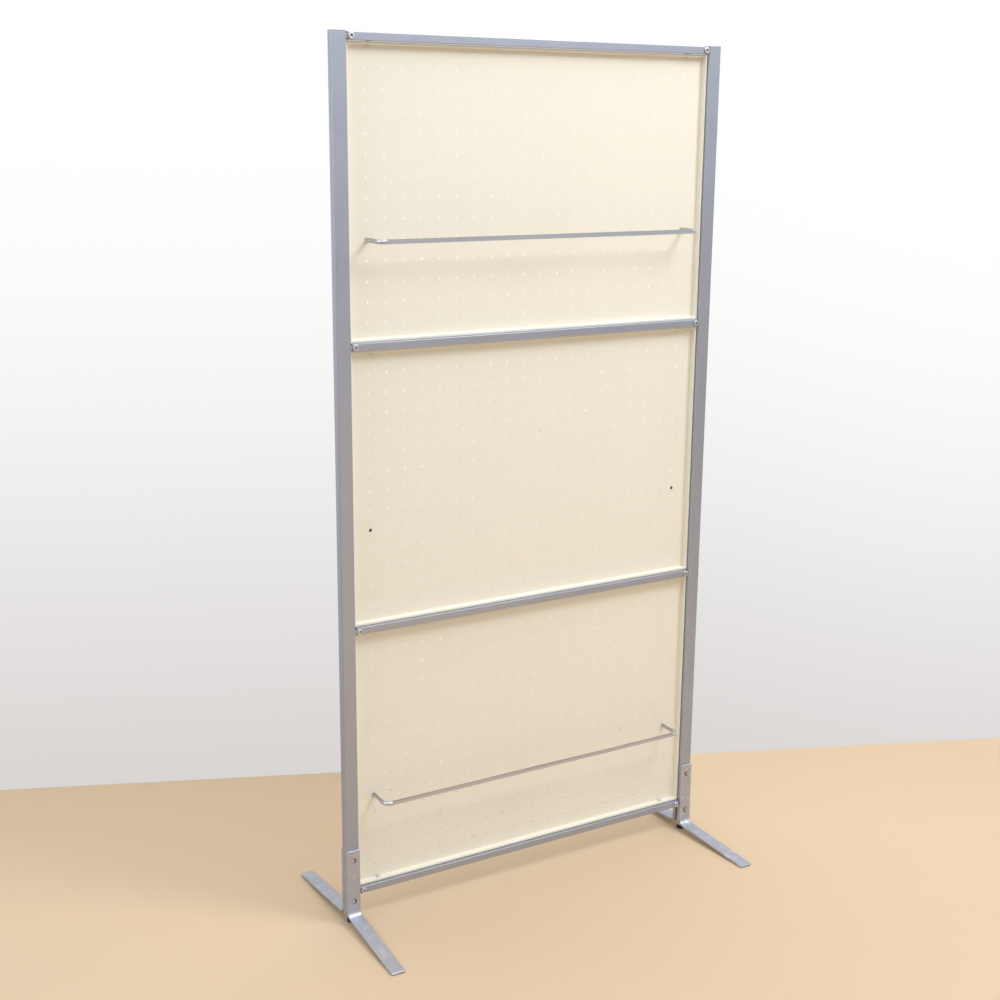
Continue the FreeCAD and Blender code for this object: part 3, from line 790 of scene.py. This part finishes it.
def foot(side_name, way_name):
    """A flat bar carried along its middle line, toed out past the bend, with rounded ends and
    two slots in round recesses."""
    name = f"{side_name}_{way_name}_foot"
    side, way = SIDES[side_name], WAYS[way_name]
    low, high = corners(name)
    post_x, post_face = post_middles[side_name], post_boxes[side_name][1][1]
    line, facing, slope_start = foot_line(post_face, high[2], max(-low[1], high[1]))
    gone = np.concatenate([[0], np.cumsum(np.linalg.norm(np.diff(line, axis=0), axis=1))])
    left = gone[-1] - gone
    width = FOOT_WIDTH - 2 * rounding(left, FOOT_CORNER) - 2 * rounding(gone, FOOT_EDGE)
    thick = FOOT_THICKNESS - 2 * rounding(np.minimum(gone, left), FOOT_EDGE)
    marks = {k: (-FOOT_CELL, FOOT_CELL) for k in (1, 3)}
    sections = np.array([rounded_loop(w, t, FOOT_EDGE, marks, 3) for w, t in zip(width, thick)])
    toe = side * math.tan(FOOT_TOE_OUT[way_name]) * np.clip(line[:, 0] - slope_start, 0, None)
    path = np.column_stack([post_x + toe, way * line[:, 0], line[:, 1]])
    normal = np.column_stack([np.zeros(len(path)), way * facing[:, 0], facing[:, 1]])
    grid = swept(path, np.broadcast_to(X, path.shape), normal, sections)
    keep = np.ones((len(grid) - 1, grid.shape[1]), bool)
    recess, slot = circle(FOOT_RECESS), slot_outline(FOOT_SLOT_LENGTH, FOOT_SLOT_WIDTH)
    steps = [(recess, 0), (recess, FOOT_SINK), (slot, FOOT_SINK), (slot, FOOT_THICKNESS)]
    shell = Shell()
    for z in FOOT_BOLT_HEIGHTS:
        outside = np.array([post_x, way * (post_face + FOOT_THICKNESS), z])
        inside = np.array([post_x, way * post_face, z])
        hits = near(grid, outside), near(grid, inside)
        drilled(shell, cells(grid)[hits[0]], cells(grid)[hits[1]], outside[None], steps)
        keep &= ~(hits[0] | hits[1])
    shell.bar(grid, keep)
    made(shell, name + "_bar", "foot_paint", name)


def domed(radius, height, skirt, steps=5):
    """Rings of a low dome on a short cylinder: radius * cos(turn), height * sin(turn)."""
    turns = np.linspace(0, math.pi / 2, steps + 1)[:-1]
    return [(radius * math.cos(t), skirt + (height - skirt) * math.sin(t)) for t in turns]


def socket_screw(shell, places, axis, length, head, height, crown, key, key_depth, shank):
    """A screw with a hexagonal socket: shank, head with a rounded crown, then the socket."""
    rings = [(0, -length), (shank * POINT_SHARE, -length),
             (shank, -length + shank * POINT_DEPTH_SHARE), (shank, 0),
             (head - EDGE, 0), (head, EDGE)]
    rings += [(head - crown * (1 - math.cos(t)), height - crown + crown * math.sin(t))
              for t in np.linspace(0, math.pi / 2, 5)]
    socket = hexagonal(key)
    rings += [(socket.max() + EDGE, height), (socket, height - EDGE),
              (socket, height - key_depth), (0, height - key_depth - key / 5)]
    turned(shell, places, axis, rings)


def lock_screws():
    """Low round heads with deep keys, which hold the rails' ends to their connectors."""
    places = [np.array([side * (high[0] - LOCK_INSET), low[1] + RAIL_WALL,
                        (low[2] + high[2]) / 2])
              for low, high in rail_boxes.values() for side in SIDES.values()]
    low, high = corners("rail_lock_screws")
    seat = places[0][1]
    shell = Shell()
    socket_screw(shell, places, -Y, high[1] - seat, height=seat - low[1], **LOCK_SCREW)
    made(shell, "rail_lock_screw_heads", "zinc", "rail_lock_screws")


def tray_screws():
    """Pan-head screws through the trays' flanges."""
    shell = Shell()
    for x, z, way in [place for name in TRAYS for place in flange_screws(name)]:
        socket_screw(shell, [np.array([x, FLANGE_SCREW_Y, z])], way * Z, TRAY_SCREW_LENGTH,
                     **PAN_SCREW)
    made(shell, "tray_screw_set", "zinc", "tray_screws")


def bar_fixings():
    """Washers and pan-head screws at the bars' ends, behind the trays."""
    heights = [(corners(bar)[0][2] + corners(bar)[1][2]) / 2 for bar in BARS]
    low, high = corners("bar_washers")
    thickness = high[1] - low[1]
    places = [np.array([side * outer_column, low[1], z])
              for z in heights for side in SIDES.values()]
    shell = Shell()
    washer(shell, places, Y, WASHER, SCREW_HOLE, thickness, EDGE)
    made(shell, "bar_washer_set", "zinc", "bar_washers")
    shell = Shell()
    socket_screw(shell, [place + thickness * Y for place in places], Y, BAR_SCREW_LENGTH,
                 **PAN_SCREW)
    made(shell, "bar_screw_set", "zinc", "bar_screws")


def foot_bolts():
    """Cap-head bolts in the feet's recesses, a little to one side of their middle."""
    shell = Shell()
    for way in WAYS.values():
        seat = way * (post_boxes["left"][1][1] + FOOT_THICKNESS - FOOT_SINK)
        places = [np.array([post_middles[name] + side * FOOT_BOLT_SHIFT, seat, z])
                  for name, side in SIDES.items() for z in FOOT_BOLT_HEIGHTS]
        socket_screw(shell, places, way * Y, FOOT_BOLT_LENGTH, **CAP_SCREW)
    made(shell, "foot_bolt_set", "yellow_zinc", "foot_bolts")


def blanking_plugs():
    """Low domes with a round stem, pushed into two peg holes."""
    low, high = corners("blanking_plugs")
    face = tray_boxes["middle_panel"][1][1] - SHEET
    z = (low[2] + high[2]) / 2
    stem, end = PEG_RADIUS - PLUG_PLAY, face - high[1]
    head, height = high[0] - outer_column, face - low[1]
    rings = [(0, end), (stem * POINT_SHARE, end), (stem, end + stem / 4), (stem, 0),
             (head - EDGE, 0), *domed(head, height, EDGE), (0, height)]
    places = [np.array([side * outer_column, face, z]) for side in SIDES.values()]
    shell = Shell()
    turned(shell, places, -Y, rings)
    made(shell, "blanking_plug_pair", "dark_plastic", "blanking_plugs")


def leveller_pad(side_name):
    """A round pad with a rounded shoulder, hollow round the stem's disc."""
    low, high = corners(side_name + "_leveller_pad")
    radius, height = (high[0] - low[0]) / 2, high[2] - low[2]
    turns = np.radians(np.linspace(0, 90, 7))
    shoulder = [(radius - PAD_ROUND * (1 - math.cos(t)), height - PAD_ROUND * (1 - math.sin(t)))
                for t in turns]
    rings = [(0, 0), (radius - PAD_FOOT, 0), (radius, PAD_FOOT), *shoulder,
             (PAD_MOUTH, height), (PAD_MOUTH, height - PAD_LIP), (PAD_BORE, height - PAD_LIP),
             (PAD_BORE, PAD_FLOOR), (0, PAD_FLOOR)]
    shell = Shell()
    turned(shell, [post_middles[side_name] * X], Z, rings, 40)
    made(shell, side_name + "_pad_moulding", "black_rubber", side_name + "_leveller_pad",
         body=side_name + "_pad")


def leveller_stem(side_name):
    """A disc, a hexagonal collar and a rolled thread, whose radius is the core's plus its
    depth times a triangle wave of height / pitch - turn / full turn."""
    low, high = corners(side_name + "_leveller_stem")
    turn = np.arange(24) / 24
    levels = np.arange(HEX_TOP + THREAD_PITCH / 2, high[2] - THREAD_PITCH, THREAD_PITCH / 8)
    wave = levels[:, None] / THREAD_PITCH - turn
    depth = THREAD_DEPTH * (1 - np.abs(2 * (wave % 1) - 1))
    core = THREAD_RADIUS - THREAD_DEPTH
    collar = hexagonal(HEX_FLATS)
    bevel = np.minimum(collar, HEX_FLATS / 2 * BEVEL_SHARE)
    disc = DISC_RADIUS - EDGE
    rings = [(0, low[2]), (disc, low[2]), (DISC_RADIUS, low[2] + EDGE),
             (DISC_RADIUS, DISC_TOP - EDGE), (disc, DISC_TOP), (core, DISC_TOP),
             (core, HEX_BOTTOM), (bevel, HEX_BOTTOM), (collar, HEX_BOTTOM + HEX_BEVEL),
             (collar, HEX_TOP - HEX_BEVEL), (bevel, HEX_TOP), (core, HEX_TOP)]
    rings += [(core + d, z) for d, z in zip(depth, levels)]
    rings += [(core, high[2] - THREAD_PITCH), (core - THREAD_DEPTH, high[2]), (0, high[2])]
    shell = Shell()
    turned(shell, [post_middles[side_name] * X], Z, rings)
    made(shell, side_name + "_threaded_stem", "zinc", side_name + "_leveller_stem",
         body=side_name + "_stem")


for side_name in SIDES:
    post(side_name)
    post_cap(side_name)
    leveller_pad(side_name)
    leveller_stem(side_name)
    for way_name in WAYS:
        foot(side_name, way_name)
for rail_name in RAILS:
    rail(rail_name)
for tray_name in TRAYS:
    tray(tray_name)
for bar_name in BARS:
    rod_bar(bar_name)
lock_screws()
tray_screws()
bar_fixings()
foot_bolts()
blanking_plugs()

# Parts that the CAD shapes show well enough keep them, with a finish of their own
KEPT = {"rail_connectors": "zinc", "tray_spacers": "zinc",
        "foot_rivet_nuts": "yellow_zinc", "left_leveller_socket": "black_plastic",
        "right_leveller_socket": "black_plastic"}
for name, slot in KEPT.items():
    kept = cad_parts[name].data.materials
    kept.clear()
    kept.append(finishes[slot])


# ---------------------------------------------------------------- studio

def sheet_of(name, points, material):
    """One flat stage surface."""
    mesh = bpy.data.meshes.new(name)
    mesh.from_pydata([tuple(point) for point in points], [], [tuple(range(len(points)))])
    mesh.materials.append(material)
    stage = bpy.data.objects.new(name, mesh)
    bpy.context.scene.collection.objects.link(stage)
    return stage


def floor():
    """A plain matt floor."""
    finish = Finish("pale_floor", {"Specular IOR Level": 0.2, "Roughness": 0.6,
                                   "Base Color": rgb(0.61, 0.462, 0.31)})
    reach = FLOOR_REACH
    sheet_of("floor", [(-reach, -reach, 0), (reach, -reach, 0), (reach, reach, 0),
                       (-reach, reach, 0)], finish.material)


def glowing_wall():
    """A matt finish that glows faintly on every ray, a stand-in for a lit wall that brightens
    the floor and the stand's back, and that the camera, gloss and glass see as a pale tone with
    painted light and shade: darker low down, brighter upwards and a little brighter to the
    right. It is clear from behind."""
    # The emission makes the whole wall glow faintly on every ray, lighting the floor and the
    # stand like a lit wall.
    finish = Finish("glowing_wall", {"Specular IOR Level": 0.2, "Roughness": 0.8,
                                  "Base Color": rgb(0.9, 0.9, 0.9),
                                  "Emission Color": rgb(0.95, 0.97, 1.0),
                                  "Emission Strength": 0.35})
    seen = finish.ray("Is Camera Ray")
    for kind in ("Is Glossy Ray", "Is Transmission Ray"):
        seen = seen.math("MAXIMUM", seen, finish.ray(kind))
    # Painted light and shade: the tone is darker towards the floor and lighter high up and to
    # the right.
    height = finish.place.part(2) + finish.place.part(0).step(*WALL_LIFT_SPAN) * WALL_LIFT
    tone = finish.tinted(height.step(*WALL_RISE), WALL_PAINTED_SHADE, WALL_PAINTED_LIGHT)
    glow = finish.node("ShaderNodeEmission", (), {"Color": tone})
    shown = finish.mixed(seen, Value(finish, finish.shader.outputs[0]), glow)
    behind = finish.node("ShaderNodeNewGeometry", output="Backfacing")
    finish.surface(finish.mixed(behind, shown, finish.node("ShaderNodeBsdfTransparent")))
    return finish.material


def wall():
    """An upright sheet behind the stand, which casts no shadow on it."""
    start, end = map(Vector, WALL_LINE)
    run = (end - start).normalized() * WALL_REACH
    rise = Vector((0, 0, WALL_HEIGHT))
    left, right = start - run, end + run
    sheet = sheet_of("wall", [left, right, right + rise, left + rise], glowing_wall())
    sheet.visible_shadow = False


def area_lamp(name, place, aim, size, watts, colour):
    """A square soft lamp that faces a point."""
    lamp = bpy.data.lights.new(name, "AREA")
    lamp.shape, lamp.size = "SQUARE", size
    lamp.energy, lamp.color = watts, colour
    hung = bpy.data.objects.new(name, lamp)
    hung.visible_camera = False
    bpy.context.scene.collection.objects.link(hung)
    place, aim = Vector(place), Vector(aim)
    turn = (aim - place).to_track_quat("-Z", "Y")
    hung.matrix_world = Matrix.Translation(place) @ turn.to_matrix().to_4x4()


def dome():
    """A world that lights the stand evenly at DOME_LIGHT, and is seen as a pale gradient: a
    smooth step of the height of the direction."""
    world = bpy.data.worlds.new("studio")
    bpy.context.scene.world = world
    world.use_nodes = True
    sky = Nodes(world.node_tree)
    rising = sky.node("ShaderNodeTexCoord", output="Generated").part(2)
    strength = sky.node("ShaderNodeMix", (), {
        "Factor": sky.ray("Is Diffuse Ray"), "A": rising.step(*DOME_RISE, *DOME_LEVELS),
        "B": DOME_LIGHT})
    background = sky.tree.nodes["Background"]
    sky.feed(background.inputs["Color"], rgb(0.93, 0.96, 1.0))
    sky.feed(background.inputs["Strength"], strength)


def camera():
    """A camera turned by an azimuth, an elevation and a roll."""
    data = bpy.data.cameras.new("camera")
    data.lens, data.sensor_width = CAMERA_LENS, CAMERA_SENSOR
    stand = bpy.data.objects.new("camera", data)
    bpy.context.scene.collection.objects.link(stand)
    azimuth, elevation, roll = map(math.radians, CAMERA_TURN)
    back = Vector((math.sin(azimuth) * math.cos(elevation),
                   -math.cos(azimuth) * math.cos(elevation), math.sin(elevation)))
    level = Vector((math.cos(azimuth), math.sin(azimuth), 0))
    upward = back.cross(level)
    right = math.cos(roll) * level + math.sin(roll) * upward
    up = math.cos(roll) * upward - math.sin(roll) * level
    turn = Matrix((right, up, back)).transposed().to_4x4()
    stand.matrix_world = Matrix.Translation(CAMERA_PLACE) @ turn
    bpy.context.scene.camera = stand


floor()
wall()
area_lamp("right_lamp", (1.5, -2.0, 3.7), (0.0, 0.0, 1.0), 1.2, 62, (0.96, 0.98, 1.0))
area_lamp("ceiling_panel", (0.4, -0.9, 3.4), (0.4, -0.9, 0.0), 3.2, 46, (0.90, 0.96, 1.0))
area_lamp("window", (-2.9, -0.3, 2.6), (-0.44, 0.0, 1.7), 1.5, 30, (0.86, 0.93, 1.0))
area_lamp("floor_glow", (0.1, -1.5, 0.25), (0.0, 0.0, 0.15), 1.2, 1.5, (1.0, 0.62, 0.28))
dome()
camera()
bpy.context.scene.view_settings.view_transform = "Standard"
